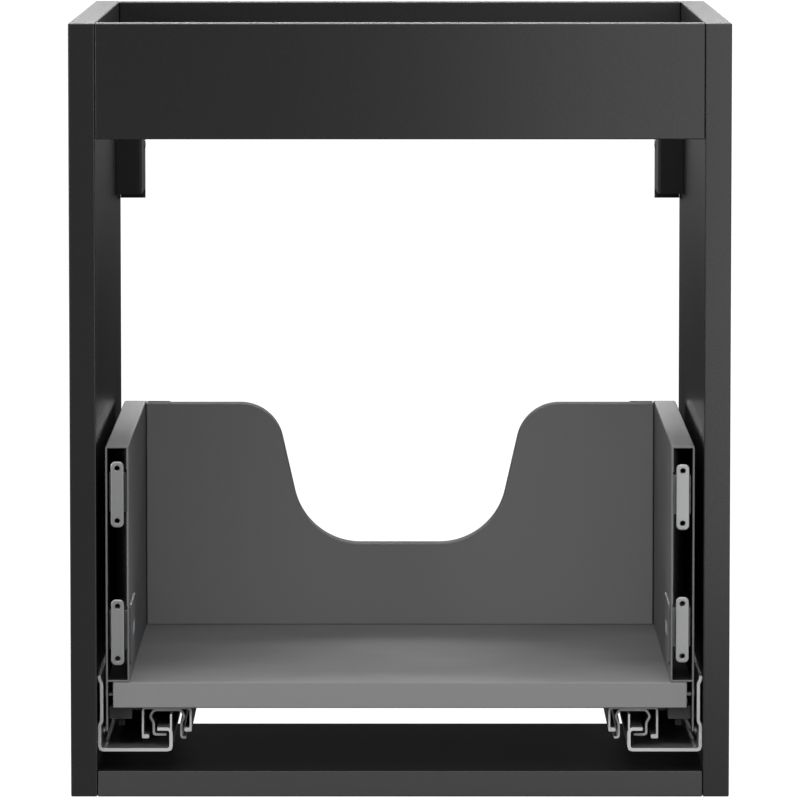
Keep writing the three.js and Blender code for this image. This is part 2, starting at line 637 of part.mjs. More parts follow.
// The lever is squeezed at its thumb end to let the drawer go.
function releaseLever(side) {
  const { inLow, thickness, start, length, pinRadius, pinLength, bottom, thumb, thumbOver } = lever;
  const across = [inLow, inLow + thickness];
  const top = coupling.bottom - fit;
  const blade = sideBlock(side, across, [fromFront(start), fromFront(start + length)],
    [up(bottom), up(top)]);
  const pad = sideBlock(side, [across[0] - thumbOver, across[1] + thumbOver],
    [fromFront(start), fromFront(start + thumb)], [up(bottom), up(top)]);
  const pin = upright(pinRadius, [up(top - past), up(top - past + pinLength)], pinPlace(side));
  return join(blade, pad, pin);
}

function screwIntoFloor(side) {
  const { radius, headRadius, headHeight, start, height, length } = floorScrew;
  const centre = [fromFront(start), up(height)];
  const face = drawer.outerIn - seam;
  const head = rod("x", headRadius, [inwards(side, face), inwards(side, face - headHeight)], centre);
  const shank = rod("x", radius, [inwards(side, face - fit), inwards(side, face + length)], centre);
  return join(head, shank);
}

for (const { side, word } of sides) {
  add(`drawer_side_${word}`, drawerSide(side), anthraciteSteel);
  add(`cover_cap_${word}`, coverCap(side), greyPlastic);
  const shift = side * plateRow.offset;
  add(`front_plate_upper_${word}`, frontPlate(side, plateRow.upper - shift), plainSteel);
  add(`front_plate_lower_${word}`, frontPlate(side, plateRow.lower + shift), plainSteel);
  add(`back_holder_${word}`, backHolder(side), anthraciteSteel);
  add(`rail_coupling_${word}`, railCoupling(side), greyPlastic);
  add(`release_lever_${word}`, releaseLever(side), blackPlastic);
  add(`floor_screw_${word}`, screwIntoFloor(side), plainSteel);
}
add("drawer_floor", drawerFloor(), greyBoard);
add("drawer_back", drawerBack(), greyBoard);

export default cabinetGroup;
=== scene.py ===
# %% [markdown]
# # A washbasin base cabinet and its drawer
# The object is the open carcass of a wall-hung washbasin cabinet: dark faced board, one pull-out
# drawer with hollow steel sides on undermount runners, and a concealed hanger in each rear top
# corner. The solid model is loaded as a fixed frame, and every visible piece is rebuilt around it
# with eased edges, bent sheet and real surface finishes.

# %% Load the frame
import json
import math

import bmesh
import bpy
from mathutils import Matrix, Vector


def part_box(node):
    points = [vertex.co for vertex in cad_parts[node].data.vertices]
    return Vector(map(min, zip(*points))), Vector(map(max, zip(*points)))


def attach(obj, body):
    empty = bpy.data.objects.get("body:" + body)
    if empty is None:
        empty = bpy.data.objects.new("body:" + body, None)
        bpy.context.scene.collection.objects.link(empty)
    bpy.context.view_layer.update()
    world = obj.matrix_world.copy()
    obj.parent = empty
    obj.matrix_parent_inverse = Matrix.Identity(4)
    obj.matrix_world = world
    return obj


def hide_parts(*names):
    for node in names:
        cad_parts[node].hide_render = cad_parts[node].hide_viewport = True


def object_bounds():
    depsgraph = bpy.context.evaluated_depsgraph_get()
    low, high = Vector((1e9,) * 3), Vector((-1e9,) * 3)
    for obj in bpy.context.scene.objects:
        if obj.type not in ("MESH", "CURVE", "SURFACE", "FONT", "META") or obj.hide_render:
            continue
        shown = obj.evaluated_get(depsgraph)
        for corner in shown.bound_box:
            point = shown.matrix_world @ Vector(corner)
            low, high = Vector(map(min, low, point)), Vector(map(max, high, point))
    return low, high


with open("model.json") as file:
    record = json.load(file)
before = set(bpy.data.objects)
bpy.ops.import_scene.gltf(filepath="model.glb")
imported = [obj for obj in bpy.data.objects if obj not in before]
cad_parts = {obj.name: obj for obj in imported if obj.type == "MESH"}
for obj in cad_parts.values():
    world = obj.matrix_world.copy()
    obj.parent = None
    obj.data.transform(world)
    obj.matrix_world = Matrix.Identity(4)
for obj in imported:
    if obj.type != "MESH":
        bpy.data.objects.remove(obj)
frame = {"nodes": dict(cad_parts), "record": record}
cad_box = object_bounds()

MM = 0.001
SIDES = ("left", "right")
BODY_OF = {node: body for body, nodes in frame["record"]["behaviour"]["bodies"].items()
           for node in nodes}
SLOT_OF = {row["node"]: row["material_slot"] for row in frame["record"]["subparts"]}

# %% [markdown]
# The camera is a long lens in front of the middle, a little above the top edge and tilted down, so
# that upright edges stay almost parallel and the tops of the boards just show. It is placed from
# the carcass's own front face. Distances are in metres, the lens and its sensor in millimetres.

# %% Camera
FRONT_Y = cad_box[0].y
CAMERA_DISTANCE = 4.180
CAMERA_HEIGHT = 0.6292
AIM_HEIGHT = 0.2423
LENS = 312.3
SENSOR_WIDTH = 36

camera_data = bpy.data.cameras.new("camera")
camera_data.lens = LENS
camera_data.sensor_width = SENSOR_WIDTH
camera = bpy.data.objects.new("camera", camera_data)
camera.location = (0, FRONT_Y - CAMERA_DISTANCE, CAMERA_HEIGHT)
aim = Vector((0, FRONT_Y, AIM_HEIGHT)) - camera.location
camera.rotation_euler = aim.to_track_quat("-Z", "Y").to_euler()
camera_data.clip_end = 100
bpy.context.scene.collection.objects.link(camera)
bpy.context.scene.camera = camera
print("camera tilt", round(math.degrees(math.atan2(-aim.z, aim.y)), 2), "degrees")

# %% [markdown]
# A studio picture of dark furniture depends on what the surfaces reflect. The room is white to the
# camera, but it lights the furniture in bands: from low in front, from level behind and faintly
# from overhead. Level edges seen at a grazing angle catch the rear band and turn light. The floor
# is a pale sheet that glossy faces leave out of their reflections. The view transform is the plain
# one, because white has to stay white.

# %% Helpers for shader nodes
def wire(tree, source, target):
    tree.links.new(source, target)


def feed(tree, socket, value):
    """Gives a socket either a plain value or another node's output."""
    if isinstance(value, bpy.types.NodeSocket):
        wire(tree, value, socket)
    else:
        socket.default_value = value


def node_of(tree, kind, **inputs):
    """Adds a shader node and sets its unlinked inputs by name."""
    node = tree.nodes.new(kind)
    for name, value in inputs.items():
        node.inputs[name.replace("_", " ")].default_value = value
    return node


def maths(tree, operation, first, second):
    node = tree.nodes.new("ShaderNodeMath")
    node.operation = operation
    for socket, value in zip(node.inputs, (first, second)):
        feed(tree, socket, value)
    return node.outputs[0]


def product(tree, first, *others):
    for other in others:
        first = maths(tree, "MULTIPLY", first, other)
    return first


def between(tree, value, from_low, from_high, to_low, to_high, curve="SMOOTHSTEP"):
    """Maps a value from one range to another, eased at both ends unless the curve is linear."""
    node = tree.nodes.new("ShaderNodeMapRange")
    node.interpolation_type = curve
    wire(tree, value, node.inputs["Value"])
    limits = (from_low, from_high, to_low, to_high)
    for name, limit in zip(("From Min", "From Max", "To Min", "To Max"), limits):
        feed(tree, node.inputs[name], limit)
    return node.outputs["Result"]


print("shader helpers ready")

# %% Room
BACKDROP_STRENGTH = 1.05
# Each band fades along one axis of the direction looked at: (axis, start, end, level at the start,
# level at the end).
BANDS = {
    "in_front": ("Y", -0.3, 0.3, 1.0, 0.0),
    "below": ("Z", -0.1, 0.1, 1.0, 0.0),
    "rightwards": ("X", -0.15, 0.25, 0.23, 0.42),
    "behind": ("Y", -0.3, 0.3, 0.0, 0.45),
    "above": ("Z", -0.075, 0.0, 0.0, 1.0),
    "level": ("Z", 0.045, 0.1, 1.0, 0.03),
    "leftwards": ("X", -0.2, 0.2, 1.7, 1.2),
    "overhead": ("Z", 0.25, 0.75, 0.0, 0.14),
}

scene = bpy.context.scene
scene.view_settings.view_transform = "Standard"
scene.view_settings.look = "None"

world = bpy.data.worlds.new("room")
scene.world = world
world.use_nodes = True
room = world.node_tree
room.nodes.clear()
direction = room.nodes.new("ShaderNodeTexCoord")
split = room.nodes.new("ShaderNodeSeparateXYZ")
wire(room, direction.outputs["Generated"], split.inputs[0])
band = {name: between(room, split.outputs[axis], *limits)
        for name, (axis, *limits) in BANDS.items()}
front_glow = product(room, band["in_front"], band["below"], band["rightwards"])
rear_glow = product(room, band["behind"], band["above"], band["level"], band["leftwards"])
glow = maths(room, "ADD", maths(room, "ADD", front_glow, rear_glow), band["overhead"])


def seen_and_lit(tree, lighting, backdrop, out_kind):
    """Shows the backdrop shader to the camera and the lighting shader to everything else."""
    seen = tree.nodes.new("ShaderNodeLightPath")
    choose = tree.nodes.new("ShaderNodeMixShader")
    wire(tree, seen.outputs["Is Camera Ray"], choose.inputs[0])
    wire(tree, lighting.outputs[0], choose.inputs[1])
    wire(tree, backdrop.outputs[0], choose.inputs[2])
    wire(tree, choose.outputs[0], tree.nodes.new(out_kind).inputs["Surface"])


WHITE = (1, 1, 1, 1)
room_backdrop = node_of(room, "ShaderNodeBackground", Color=WHITE, Strength=BACKDROP_STRENGTH)
room_lighting = node_of(room, "ShaderNodeBackground", Color=WHITE)
wire(room, glow, room_lighting.inputs["Strength"])
seen_and_lit(room, room_lighting, room_backdrop, "ShaderNodeOutputWorld")
print("room lit in", len(BANDS), "bands")

# %% Floor
FLOOR_RADIUS = 40.0
FLOOR_DROP = 0.0004
PAPER_SHADE = (0.12, 0.12, 0.12, 1)
PAPER_STRENGTH = 1.08
floor_mesh = bmesh.new()
bmesh.ops.create_circle(floor_mesh, cap_ends=True, segments=64, radius=FLOOR_RADIUS)
floor_data = bpy.data.meshes.new("studio_floor")
floor_mesh.to_mesh(floor_data)
floor_mesh.free()
studio_floor = bpy.data.objects.new("studio_floor", floor_data)
scene.collection.objects.link(studio_floor)
studio_floor.location.z = -FLOOR_DROP
studio_floor.visible_glossy = False

floor_material = bpy.data.materials.new("studio_paper")
floor_material.use_nodes = True
paper = floor_material.node_tree
paper.nodes.clear()
paper_lighting = node_of(paper, "ShaderNodeBsdfDiffuse", Color=PAPER_SHADE)
paper_backdrop = node_of(paper, "ShaderNodeEmission", Color=WHITE, Strength=PAPER_STRENGTH)
seen_and_lit(paper, paper_lighting, paper_backdrop, "ShaderNodeOutputMaterial")
floor_data.materials.append(floor_material)
print("paper floor of radius", FLOOR_RADIUS, "m")

# %% [markdown]
# The lamps are large soft boxes that the camera doesn't see. Glossy faces don't show the two at the
# sides, which would leave hot spots on the outer panels. The card is a small, weak one close to the
# front right edge, which it keeps lighter than the left.

# %% Lamps
# Name, place, point aimed at, size, power in watts, and whether glossy faces show it.
LAMPS = (
    ("left_softbox", (-3.0, 0, 1.0), (0, 0, 0.2), (2.0, 1.5), 170, False),
    ("right_softbox", (3.0, 0, 1.0), (0, 0, 0.2), (2.0, 1.5), 156, False),
    ("rear_softbox", (0, 3.0, 2.0), (0, 0, 0.4), (3.0, 1.0), 68, True),
    ("front_softbox", (0, -2.2, 2.6), (0, 0, 0.2), (2.5, 1.5), 39, True),
    ("left_front_softbox", (-2.5, -2.5, 1.2), (0, 0, 0.2), (1.5, 1.5), 34, True),
    ("top_softbox", (0, 0, 3.0), (0, 0, 0), (2.5, 2.0), 14, True),
    ("right_card", (0.48, -1.0, 0.47), (0.48, 0, 0.47), (0.78, 0.94), 1.75, True),
)

for name, place, aim_at, size, power, in_reflections in LAMPS:
    data = bpy.data.lights.new(name, "AREA")
    data.shape = "RECTANGLE"
    data.size, data.size_y = size
    data.energy = power
    lamp = bpy.data.objects.new(name, data)
    lamp.location = place
    towards = Vector(aim_at) - Vector(place)
    lamp.rotation_euler = towards.to_track_quat("-Z", "Y").to_euler()
    lamp.visible_camera = False
    lamp.visible_glossy = in_reflections
    scene.collection.objects.link(lamp)
print(len(LAMPS), "lamps")

# %% [markdown]
# ## Finishes
# Five effects are shared: a fine pebble that pressed board and powder paint both show, a soft
# mottling that keeps a face from being one flat colour, dust and rubbing along the edges together
# with a painted highlight where they catch the light, the drawn lines of rolled steel, and a mask
# for faces cut across the cabinet's depth, where sheet and board show their bare ends. Each is a
# node group, so a finish only picks its own amounts.

# %% Helpers for shared effects
def new_group(name, inputs, outputs):
    group = bpy.data.node_groups.new(name, "ShaderNodeTree")
    for title, kind, value in inputs:
        socket = group.interface.new_socket(title, in_out="INPUT", socket_type=kind)
        socket.default_value = value
    for title, kind in outputs:
        group.interface.new_socket(title, in_out="OUTPUT", socket_type=kind)
    return group, group.nodes.new("NodeGroupInput"), group.nodes.new("NodeGroupOutput")


FLOAT = "NodeSocketFloat"
# Noise stays mostly between these two values, so effects are stretched from them.
NOISE_LOW, NOISE_HIGH = 0.3, 0.7


def object_noise(group, scale, detail, stretch=None):
    """Noise on object coordinates; stretch draws it out along one axis."""
    place = group.nodes.new("ShaderNodeTexCoord").outputs["Object"]
    if stretch:
        mapping = group.nodes.new("ShaderNodeMapping")
        mapping.inputs["Scale"].default_value = stretch
        wire(group, place, mapping.inputs["Vector"])
        place = mapping.outputs["Vector"]
    noise = node_of(group, "ShaderNodeTexNoise", Detail=detail)
    wire(group, place, noise.inputs["Vector"])
    feed(group, noise.inputs["Scale"], scale)
    return noise.outputs["Fac"]


print("effect helpers ready")

# %% Pebble and mottling
FINER, FINE_SHARE = 3.1, 0.35
pebble, pebble_in, pebble_out = new_group(
    "pebble", [("Scale", FLOAT, 900.0)], [("Height", FLOAT), ("Fine", FLOAT)])
coarse = object_noise(pebble, pebble_in.outputs["Scale"], 2.0)
fine = object_noise(pebble, maths(pebble, "MULTIPLY", pebble_in.outputs["Scale"], FINER), 1.0)
wire(pebble, maths(pebble, "ADD", coarse, maths(pebble, "MULTIPLY", fine, FINE_SHARE)),
     pebble_out.inputs["Height"])
wire(pebble, fine, pebble_out.inputs["Fine"])

CLOUD_SCALE = 14.0
mottle, mottle_in, mottle_out = new_group(
    "mottle", [("Low", FLOAT, 0.94), ("High", FLOAT, 1.06)], [("Amount", FLOAT)])
clouds = object_noise(mottle, CLOUD_SCALE, 4.0)
clouded = between(mottle, clouds, NOISE_LOW, NOISE_HIGH, mottle_in.outputs["Low"],
                  mottle_in.outputs["High"], curve="LINEAR")
wire(mottle, clouded, mottle_out.inputs["Amount"])
print("made", pebble.name, "and", mottle.name)

# %% Rubbed edges and painted edge highlights
# The bevelled normal leans away from the true one near an edge: (all flat, fully an edge).
EDGE_LEAN = (0.995, 0.8)
EDGE_BREAK_SCALE = 160.0
# Edges are lightened for dust and rubbing, and as a painted highlight where they catch the light.
edge_wear_and_highlight, edge_in, edge_out = new_group(
    "edge_wear_and_highlight", [("Radius", FLOAT, 0.0008), ("Strength", FLOAT, 1.0)], [("Mask", FLOAT)])
rounded = edge_wear_and_highlight.nodes.new("ShaderNodeBevel")
rounded.samples = 4
wire(edge_wear_and_highlight, edge_in.outputs["Radius"], rounded.inputs["Radius"])
facing = edge_wear_and_highlight.nodes.new("ShaderNodeVectorMath")
facing.operation = "DOT_PRODUCT"
true_normal = edge_wear_and_highlight.nodes.new("ShaderNodeNewGeometry")
wire(edge_wear_and_highlight, rounded.outputs["Normal"], facing.inputs[0])
wire(edge_wear_and_highlight, true_normal.outputs["Normal"], facing.inputs[1])
near_edge = between(edge_wear_and_highlight, facing.outputs["Value"], *EDGE_LEAN, 0.0, 1.0)
broken = between(edge_wear_and_highlight, object_noise(edge_wear_and_highlight, EDGE_BREAK_SCALE, 3.0), 0.35, 0.65, 0.35, 1.0)
wire(edge_wear_and_highlight, product(edge_wear_and_highlight, near_edge, broken, edge_in.outputs["Strength"]),
     edge_out.inputs["Mask"])
print("made", edge_wear_and_highlight.name)

# %% Rolled lines and cut ends
LINE_SCALE = 1200.0
LINE_STRETCH = (1, 0.02, 1)
rolled, rolled_in, rolled_out = new_group(
    "rolled_lines", [("Low", FLOAT, 0.2), ("High", FLOAT, 0.4)],
    [("Roughness", FLOAT), ("Height", FLOAT)])
lines = object_noise(rolled, LINE_SCALE, 3.0, stretch=LINE_STRETCH)
line_rough = between(rolled, lines, NOISE_LOW, NOISE_HIGH, rolled_in.outputs["Low"],
                     rolled_in.outputs["High"], curve="LINEAR")
wire(rolled, line_rough, rolled_out.inputs["Roughness"])
wire(rolled, lines, rolled_out.inputs["Height"])

# How far a face has to turn towards Y or -Y before it counts as cut: (not yet, fully).
END_TURN = (0.8, 0.97)
cut_ends, _, cut_out = new_group("cut_ends", [], [("Mask", FLOAT)])
end_split = cut_ends.nodes.new("ShaderNodeSeparateXYZ")
wire(cut_ends, cut_ends.nodes.new("ShaderNodeTexCoord").outputs["Normal"], end_split.inputs[0])
along = maths(cut_ends, "ABSOLUTE", end_split.outputs["Y"], 0.0)
wire(cut_ends, between(cut_ends, along, *END_TURN, 0.0, 1.0), cut_out.inputs["Mask"])
print("shared effects:", [group.name for group in bpy.data.node_groups])


# %% A finish is a Principled surface with these effects
def placed(tree, group, **values):
    node = tree.nodes.new("ShaderNodeGroup")
    node.node_tree = group
    for name, value in values.items():
        node.inputs[name].default_value = value
    return node


def mixed(tree, factor, first, second, kind="FLOAT"):
    """A number or colour that goes from first to second with the factor."""
    node = tree.nodes.new("ShaderNodeMix")
    node.data_type = kind
    wire(tree, factor, node.inputs["Factor"])
    feed(tree, node.inputs["A"], first)
    feed(tree, node.inputs["B"], second)
    return node.outputs["Result"]


def opaque(colour):
    return (*colour, 1)


MOTTLE = (0.93, 1.07)
# How much lighter the edges are made: rubbing, and a painted highlight.
EDGE_WEAR_AND_HIGHLIGHT_LIGHTER = 2.2


def finish(name, colour, rough, edge_wear_and_highlight_colour=None, edge=(0.0008, 0.5), pebbles=(900.0, 0.1, 0.0002),
           metallic=0.0, specular=0.5, ior=1.5, lines=False, ends=None):
    """colour mottled a little, rough as (low, high), a pebbled or lined bump, and rubbed edges with
    a painted highlight.
    edge is (width, strength), pebbles is (scale, bump strength, bump height). ends gives faces cut
    across Y another (colour, metallic, roughness)."""
    material = bpy.data.materials.new(name)
    material.use_nodes = True
    tree = material.node_tree
    surface = tree.nodes["Principled BSDF"]
    surface.inputs["Metallic"].default_value = metallic
    surface.inputs["Specular IOR Level"].default_value = specular
    surface.inputs["IOR"].default_value = ior

    scaled = tree.nodes.new("ShaderNodeVectorMath")
    scaled.operation = "SCALE"
    scaled.inputs[0].default_value = colour
    cloud = placed(tree, mottle, Low=MOTTLE[0], High=MOTTLE[1])
    wire(tree, cloud.outputs["Amount"], scaled.inputs["Scale"])
    # Edges are mixed towards a lighter colour: rubbing, and a painted highlight.
    edge_wear_and_highlight_node = placed(tree, edge_wear_and_highlight, Radius=edge[0], Strength=edge[1])
    worn_and_highlighted_edge = opaque(edge_wear_and_highlight_colour or [min(1, EDGE_WEAR_AND_HIGHLIGHT_LIGHTER * c) for c in colour])
    coloured = mixed(tree, edge_wear_and_highlight_node.outputs["Mask"], scaled.outputs["Vector"], worn_and_highlighted_edge, "RGBA")

    bump = tree.nodes.new("ShaderNodeBump")
    scale, strength, distance = pebbles
    bump.inputs["Strength"].default_value = strength
    bump.inputs["Distance"].default_value = distance
    if lines:
        drawn = placed(tree, rolled, Low=rough[0], High=rough[1])
        roughness = drawn.outputs["Roughness"]
        wire(tree, drawn.outputs["Height"], bump.inputs["Height"])
    else:
        grain = placed(tree, pebble, Scale=scale)
        wire(tree, grain.outputs["Height"], bump.inputs["Height"])
        roughness = between(tree, grain.outputs["Fine"], NOISE_LOW, NOISE_HIGH, *rough)
    if ends:
        end_colour, end_metallic, end_rough = ends
        mask = placed(tree, cut_ends).outputs["Mask"]
        coloured = mixed(tree, mask, coloured, opaque(end_colour), "RGBA")
        roughness = mixed(tree, mask, roughness, end_rough)
        if metallic:
            wire(tree, mixed(tree, mask, metallic, end_metallic), surface.inputs["Metallic"])
        if lines:
            wire(tree, mixed(tree, mask, strength, 0.0), bump.inputs["Strength"])
    wire(tree, coloured, surface.inputs["Base Color"])
    wire(tree, roughness, surface.inputs["Roughness"])
    wire(tree, bump.outputs["Normal"], surface.inputs["Normal"])
    return material


print("finish recipe ready")

# %% [markdown]
# The carcass board is almost black, so most of what shows on it is reflection, while the drawer's
# board is matt and grey. Only the bare runner sheet has drawn lines.

# %% The finishes
FINISHES = {
    # The board's edge colour is a painted highlight along its eased edges, with some rubbing.
    "board_dark": finish("anthracite_board", (0.006, 0.0061, 0.0064), (0.27, 0.33),
                         edge_wear_and_highlight_colour=(0.08, 0.08, 0.082), edge=(0.0009, 0.9),
                         pebbles=(700.0, 0.05, 0.0001), specular=0.98),
    "board_grey": finish("grey_board", (0.215, 0.215, 0.217), (0.7, 0.82),
                         pebbles=(800.0, 0.15, 0.0002), specular=0.03,
                         ends=((0.29, 0.29, 0.292), 0.0, 0.75)),
    "drawer_metal": finish("anthracite_paint", (0.068, 0.0685, 0.0695), (0.38, 0.5), ior=1.8,
                           pebbles=(1500.0, 0.18, 0.0002), specular=0.8,
                           ends=((0.13, 0.13, 0.13), 0.0, 0.5)),
    "runner_steel": finish("bright_zinc", (0.58, 0.585, 0.595), (0.36, 0.42), metallic=0.85,
                           pebbles=(900.0, 0.01, 0.00005), lines=True,
                           ends=((0.7, 0.7, 0.705), 0.15, 0.4)),
    "fitting_steel": finish("satin_zinc", (0.6, 0.605, 0.61), (0.36, 0.48), metallic=1.0,
                            pebbles=(1100.0, 0.12, 0.0001)),
    "black_plastic": finish("black_moulding", (0.010, 0.010, 0.010), (0.4, 0.5), specular=0.35),
    "grey_plastic": finish("grey_moulding", (0.08, 0.08, 0.082), (0.4, 0.52)),
    "white_plastic": finish("white_moulding", (0.6, 0.6, 0.58), (0.4, 0.5)),
    "dowel_wood": finish("beech_dowel", (0.45, 0.3, 0.17), (0.6, 0.7)),
    "lacquered_steel": finish("black_lacquered_steel", (0.03, 0.03, 0.03), (0.3, 0.42)),
    "pale_inlay": finish("pale_inlay", (0.3, 0.36, 0.42), (0.35, 0.45)),
    # The bottom panel's own board finish: its faces cut across Y, the front among them, are
    # coloured lighter than the other boards' fronts, and its edge colour is a painted highlight
    # with some rubbing.
    "bottom_board": finish("anthracite_bottom_board", (0.005, 0.005, 0.0052), (0.36, 0.42),
                        edge_wear_and_highlight_colour=(0.12, 0.12, 0.123), edge=(0.0009, 0.9),
                        pebbles=(700.0, 0.05, 0.0001), specular=0.4,
                        ends=((0.07, 0.07, 0.071), 0.0, 0.35)),
    # Painted shade: a near-black colour for the hollow inside of the drawer sides.
    "hollow": finish("painted_inside_shade", (0.025, 0.025, 0.025), (0.6, 0.7), specular=0.15),
}
print(len(FINISHES), "finishes")

# %% [markdown]
# ## Rebuilding the pieces
# A machined or moulded piece never has a razor edge. For most solids of the frame a copy is merged,
# its flat faces are joined again, and its edges are rounded by that piece's own small radius, so
# that they catch the light. Faces that meet at a shallow angle are shaded smooth.

# %% Helpers for pieces
WELD = 1e-6
FLAT_ENOUGH = 1.0
SMOOTH_BELOW = 38


def merged_copy(node):
    """A welded bmesh of a frame node, with its coplanar triangles joined."""
    shape = bmesh.new()
    shape.from_mesh(frame["nodes"][node].data)
    bmesh.ops.remove_doubles(shape, verts=shape.verts, dist=WELD)
    bmesh.ops.dissolve_limit(shape, angle_limit=math.radians(FLAT_ENOUGH), verts=shape.verts,
                             edges=shape.edges)
    return shape


def verts_in(items):
    return [item for item in items if isinstance(item, bmesh.types.BMVert)]


def edges_in(items):
    return [item for item in items if isinstance(item, bmesh.types.BMEdge)]


# Edges that turn by more than this many degrees are square corners.
SQUARE = 60


def edges_over(shape, degrees, among=None):
    limit = math.radians(degrees)
    return [e for e in among or shape.edges
            if len(e.link_faces) == 2 and e.calc_face_angle(0) > limit]


def round_off(shape, geom, radius, segments, affect="EDGES", clamp=False):
    """Rounds the given edges or corners."""
    bmesh.ops.bevel(shape, geom=geom, offset=radius, segments=segments, profile=0.5,
                    affect=affect, clamp_overlap=clamp, material=-1)


def ease(shape, radius, degrees=50, segments=2, among=None):
    """Rounds every edge that turns by more than the given angle."""
    round_off(shape, edges_over(shape, degrees, among), radius, segments, clamp=True)


def make_piece(name, shape, material, body, *nodes, slot=None):
    """Turns a bmesh into an object that rides on a body and stands for the given frame nodes."""
    data = bpy.data.meshes.new(name)
    shape.to_mesh(data)
    shape.free()
    data.polygons.foreach_set("use_smooth", [True] * len(data.polygons))
    data.set_sharp_from_angle(angle=math.radians(SMOOTH_BELOW))
    data.materials.append(material)
    piece = bpy.data.objects.new(name, data)
    scene.collection.objects.link(piece)
    weighted = piece.modifiers.new("face_weights", "WEIGHTED_NORMAL")
    weighted.keep_sharp = True
    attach(piece, body)
    if nodes:
        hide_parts(*nodes)
    return piece


def stand_in(node, shape, look):
    """Puts a bmesh in the place of one frame node, in the named finish."""
    return make_piece(node + "_shape", shape, FINISHES[look], BODY_OF[node], node)


print("piece helpers ready")

# %% Where things are, measured on the frame
INNER_X = -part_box("side_panel_left")[1].x
PANEL_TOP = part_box("bottom_panel")[1].z
SIGN = {"left": -1, "right": 1}


def inwards(side, gap):
    """The X value that lies gap metres in from a side panel's inner face."""
    return SIGN[side] * (INNER_X - gap)


def add_block(shape, lowest, highest, radius, segments=2):
    """Adds a box between two corners, with its edges rounded, to a bmesh."""
    size = [abs(b - a) for a, b in zip(lowest, highest)]
    middle = [(a + b) / 2 for a, b in zip(lowest, highest)]
    cube = bmesh.ops.create_cube(shape, size=1.0)["verts"]
    bmesh.ops.scale(shape, vec=size, verts=cube)
    bmesh.ops.translate(shape, vec=middle, verts=cube)
    edges = {edge for vert in cube for edge in vert.link_edges}
    round_off(shape, list(edges), radius, segments)


def add_roller(shape, centre, radius, length, rim):
    """Adds a round bar along X, with rounded rims."""
    turn = Matrix.Rotation(math.radians(90), 4, "Y")
    bar = bmesh.ops.create_cone(shape, cap_ends=True, segments=28, radius1=radius,
                                radius2=radius, depth=length,
                                matrix=Matrix.Translation(centre) @ turn)["verts"]
    edges = {edge for vert in bar for edge in vert.link_edges}
    round_off(shape, edges_over(shape, SQUARE, edges), rim, 2)


print("inner faces at", round(INNER_X / MM, 1), "mm, bottom panel's top at",
      round(PANEL_TOP / MM, 1), "mm")

# %% [markdown]
# The drawer's back board covers the front edges of its two sheet holders, and each holder reaches
# down to the drawer floor, so that no light shows between the board and the drawer sides. The
# drawer's rail has rolled hems, and the hollow inside of each drawer side is coloured darker as
# painted shade.

# %% Eased copies of the frame
EASING = {
    "board_dark": (0.3 * MM, 2), "board_grey": (0.5 * MM, 3), "drawer_metal": (0.25 * MM, 3),
    "runner_steel": (0.2 * MM, 2), "fitting_steel": (0.15 * MM, 2), "black_plastic": (0.4 * MM, 3),
    "grey_plastic": (0.4 * MM, 3), "dowel_wood": (0.5 * MM, 2),
}
BUILT_ANEW = ("front_plate", "ball_cage", "roller_cage", "rail_screw", "floor_screw", "cover_cap",
              "hanger_depth_screw", "hanger_height_screw", "hanger_housing", "hanger_rivet",
              "damper_housing")
END_ZONE, WIDER = 162 * MM, 1.2 * MM
HOLDER_LOWER, HOLDER_SET_BACK = 5.6 * MM, 0.6 * MM
AT_FACE = 0.1 * MM
HEM_HEIGHT, HEM_RADIUS, HEM_LENGTH = 7.0 * MM, 0.8 * MM, 200 * MM
SKIN = 0.8 * MM

eased = [node for node in sorted(BODY_OF) if not node.startswith(BUILT_ANEW)]
for node in eased:
    slot = SLOT_OF[node]
    copy = merged_copy(node)
    radius, segments = EASING[slot]
    least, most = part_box(node)
    if node == "drawer_back":
        for vert in copy.verts:
            if abs(vert.co.x) > END_ZONE:
                vert.co.x += math.copysign(WIDER, vert.co.x)
    if node.startswith("back_holder"):
        for vert in copy.verts:
            if vert.co.z < least.z + AT_FACE:
                vert.co.z -= HOLDER_LOWER
            if vert.co.y < least.y + AT_FACE:
                vert.co.y += HOLDER_SET_BACK
    if node.startswith("drawer_rail"):
        hems = [e for e in copy.edges
                if max(v.co.z for v in e.verts) < least.z + HEM_HEIGHT
                and abs(e.verts[0].co.y - e.verts[1].co.y) > HEM_LENGTH]
        ease(copy, HEM_RADIUS, segments=4, among=hems)
    ease(copy, radius, segments=segments)
    piece = stand_in(node, copy, "bottom_board" if node == "bottom_panel" else slot)
    # Faces inside each hollow drawer side get the painted shade colour.
    if node.startswith("drawer_side"):
        piece.data.materials.append(FINISHES["hollow"])
        for polygon in piece.data.polygons:
            spot = polygon.center
            within = least.x + SKIN < spot.x < most.x - SKIN and spot.z < most.z - SKIN
            if within and abs(polygon.normal.y) < 0.5:
                polygon.material_index = 1
print(len(eased), "eased pieces")

# %% [markdown]
# ## Front plates
# Each drawer side carries two small steel plates that the drawer front is screwed to. They are
# stamped, so the outline has round corners, the front rim is rolled over, and the two holes are
# countersunk. A one-face grid with bevelled corners gives the outline, circles give the holes, and
# a fill between them gives the plate.

# %% A stamped plate
PLATE = {"width": 8.2 * MM, "corner": 3.0 * MM, "thickness": 1.8 * MM, "rim": 0.7 * MM,
         "pitch": 32 * MM, "hole": 1.5 * MM, "sink": 0.45 * MM}
# The neck joins the plate to a wider foot inside the drawer side; both are given as half sizes.
NECK = {"x": 2.4 * MM, "z": 10 * MM, "start": 1 * MM, "length": 14 * MM, "easing": 0.3 * MM}
FOOT = {"z": 12 * MM, "easing": 0.5 * MM}


